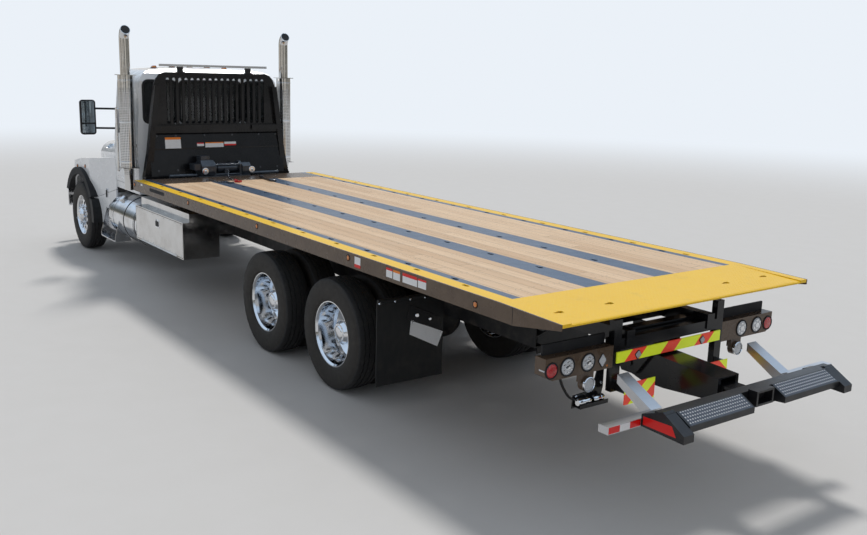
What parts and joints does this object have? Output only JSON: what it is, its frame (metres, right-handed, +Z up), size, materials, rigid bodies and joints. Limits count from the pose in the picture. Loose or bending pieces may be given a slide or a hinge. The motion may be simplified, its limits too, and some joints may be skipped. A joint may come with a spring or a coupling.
{
  "type": "flatbed tow truck",
  "caption": "Conventional-cab flatbed tow truck with a sliding and tilting timber and steel bed, a winch behind the cab and a wheel lift at the rear",
  "frame": {"origin": "on the ground in the middle of the truck's outline", "axes": "+X forward, +Y to the truck's left, +Z up"},
  "size_m": [12.2398, 2.91, 3.2609],
  "materials": {
    "aluminium": "bright, lightly brushed",
    "black_plastic": "grained",
    "black_steel": "gloss black",
    "board_paint": "reflective stripes",
    "bright_metal": "polished",
    "bronze_paint": "gloss dark bronze",
    "brushed": "worn zinc",
    "cab_paint": "gloss white",
    "chassis_black": "satin black",
    "glass": "tinted",
    "hook_paint": "gloss red",
    "lens_amber": "clear lens",
    "lens_clear": "clear lens",
    "lens_red": "clear lens",
    "rope": "laid wire rope",
    "rubber": "matt black",
    "seat_cloth": "woven",
    "timber": "oiled planks",
    "tyre": "moulded black rubber",
    "yellow_paint": "gloss yellow"
  },
  "bodies": {
    "chassis": {"bumper": "bright_metal", "cab_fairings": "cab_paint", "cab_glass": "glass", "cab_guard": "black_steel", "cab_shell": "cab_paint", "dashboard": "black_plastic", "drive_axles": "chassis_black", "engine": "chassis_black", "exhaust_stacks": "bright_metal", "frame_rails": "chassis_black", "front_axle": "chassis_black", "fuel_tanks": "bright_metal", "light_bar": "lens_amber", "mirrors": "black_plastic", "mud_flaps": "rubber", "seats": "seat_cloth", "toolbox_left": "aluminium", "toolbox_right": "aluminium"},
    "hood": {"hood_shell": "cab_paint", "grille": "bright_metal", "fender_flares": "rubber", "headlamps": "lens_clear"},
    "door_left": {"door_left": "cab_paint", "door_glass_left": "glass"},
    "door_right": {"door_right": "cab_paint", "door_glass_right": "glass"},
    "box_door_left": {"toolbox_door_left": "aluminium"},
    "box_door_right": {"toolbox_door_right": "aluminium"},
    "knuckle_left": {"knuckle_left": "chassis_black"},
    "knuckle_right": {"knuckle_right": "chassis_black"},
    "wheel_front_left": {"tyre_front_left": "tyre", "wheel_front_left": "bright_metal"},
    "wheel_front_right": {"tyre_front_right": "tyre", "wheel_front_right": "bright_metal"},
    "wheels_mid_left": {"tyres_mid_left": "tyre", "wheels_mid_left": "bright_metal"},
    "wheels_mid_right": {"tyres_mid_right": "tyre", "wheels_mid_right": "bright_metal"},
    "wheels_rear_left": {"tyres_rear_left": "tyre", "wheels_rear_left": "bright_metal"},
    "wheels_rear_right": {"tyres_rear_right": "tyre", "wheels_rear_right": "bright_metal"},
    "subframe": {"subframe": "black_steel", "lamp_boxes": "black_steel", "tail_lamps": "lens_red", "warning_boards": "board_paint"},
    "bed": {"bed_frame": "bronze_paint", "deck_boards": "timber", "deck_channels": "black_steel", "edge_strips": "yellow_paint", "tail_plate": "yellow_paint", "winch": "black_steel", "winch_rope": "rope", "winch_hook": "hook_paint"},
    "lift_barrels": {"lift_barrels": "black_steel"},
    "lift_rods": {"lift_rods": "bright_metal"},
    "boom": {"lift_boom": "black_steel"},
    "tongue": {"lift_tongue": "black_steel"},
    "crossbar": {"crossbar": "black_steel", "l_arms": "brushed"}
  },
  "joints": [
    {"name": "steer_left", "type": "hinge", "parent": "chassis", "child": "knuckle_left", "pos_m": [5.036, 0.9, 0.505], "axis": [0, 0, 1], "range_deg": [-35, 35]},
    {"name": "roll_front_left", "type": "hinge", "parent": "knuckle_left", "child": "wheel_front_left", "pos_m": [5.036, 1.0965, 0.505], "axis": [0, 1, 0], "continuous": true},
    {"name": "roll_mid_left", "type": "hinge", "parent": "chassis", "child": "wheels_mid_left", "pos_m": [-1.18, 0.911, 0.505], "axis": [0, 1, 0], "continuous": true},
    {"name": "roll_rear_left", "type": "hinge", "parent": "chassis", "child": "wheels_rear_left", "pos_m": [-2.5, 0.911, 0.505], "axis": [0, 1, 0], "continuous": true},
    {"name": "door_left", "type": "hinge", "parent": "chassis", "child": "door_left", "pos_m": [3.892, 1.035, 1.8], "axis": [0, 0, -1], "range_deg": [0, 70]},
    {"name": "box_door_left", "type": "hinge", "parent": "chassis", "child": "box_door_left", "pos_m": [1.78, 1.2063, 0.548], "axis": [-1, 0, 0], "range_deg": [0, 90]},
    {"name": "steer_right", "type": "hinge", "parent": "chassis", "child": "knuckle_right", "pos_m": [5.036, -0.9, 0.505], "axis": [0, 0, 1], "range_deg": [-35, 35]},
    {"name": "roll_front_right", "type": "hinge", "parent": "knuckle_right", "child": "wheel_front_right", "pos_m": [5.036, -1.0965, 0.505], "axis": [0, 1, 0], "continuous": true},
    {"name": "roll_mid_right", "type": "hinge", "parent": "chassis", "child": "wheels_mid_right", "pos_m": [-1.18, -0.911, 0.505], "axis": [0, 1, 0], "continuous": true},
    {"name": "roll_rear_right", "type": "hinge", "parent": "chassis", "child": "wheels_rear_right", "pos_m": [-2.5, -0.911, 0.505], "axis": [0, 1, 0], "continuous": true},
    {"name": "door_right", "type": "hinge", "parent": "chassis", "child": "door_right", "pos_m": [3.892, -1.035, 1.8], "axis": [0, 0, 1], "range_deg": [0, 70]},
    {"name": "box_door_right", "type": "hinge", "parent": "chassis", "child": "box_door_right", "pos_m": [1.78, -1.2063, 0.548], "axis": [1, 0, 0], "range_deg": [0, 90]},
    {"name": "hood_tilt", "type": "hinge", "parent": "chassis", "child": "hood", "pos_m": [6.05, 0, 0.86], "axis": [0, 1, 0], "range_deg": [0, 55]},
    {"name": "bed_tilt", "type": "hinge", "parent": "chassis", "child": "subframe", "pos_m": [-4.4, 0, 0.95], "axis": [0, -1, 0], "range_deg": [0, 14]},
    {"name": "bed_slide", "type": "slide", "parent": "subframe", "child": "bed", "axis": [-1, 0, 0], "range_m": [0, 3.8]},
    {"name": "lift_barrel_tilt", "type": "hinge", "parent": "chassis", "child": "lift_barrels", "pos_m": [-0.3, 0, 0.7], "axis": [0, 1, 0], "range_deg": [0, 21.5]},
    {"name": "lift_rod_slide", "type": "slide", "parent": "lift_barrels", "child": "lift_rods", "axis": [-0.9656, 0, 0.26], "range_m": [0, 0.4]},
    {"name": "boom_lift", "type": "hinge", "parent": "subframe", "child": "boom", "pos_m": [-5, 0, 0.765], "axis": [0, 1, 0], "range_deg": [-20, 3]},
    {"name": "tongue_extend", "type": "slide", "parent": "boom", "child": "tongue", "axis": [-1, 0, 0], "range_m": [0, 0.45]},
    {"name": "crossbar_swivel", "type": "hinge", "parent": "tongue", "child": "crossbar", "pos_m": [-5.83, 0, 0.77], "axis": [0, 0, 1], "range_deg": [-6, 6]}
  ],
  "couplings": [
    {"joint": "steer_right", "follows": "steer_left", "ratio": 1},
    {"joint": "lift_barrel_tilt", "follows": "bed_tilt", "ratio": 1.4986},
    {"joint": "lift_rod_slide", "follows": "bed_tilt", "m_per_rad": 1.6157}
  ]
}
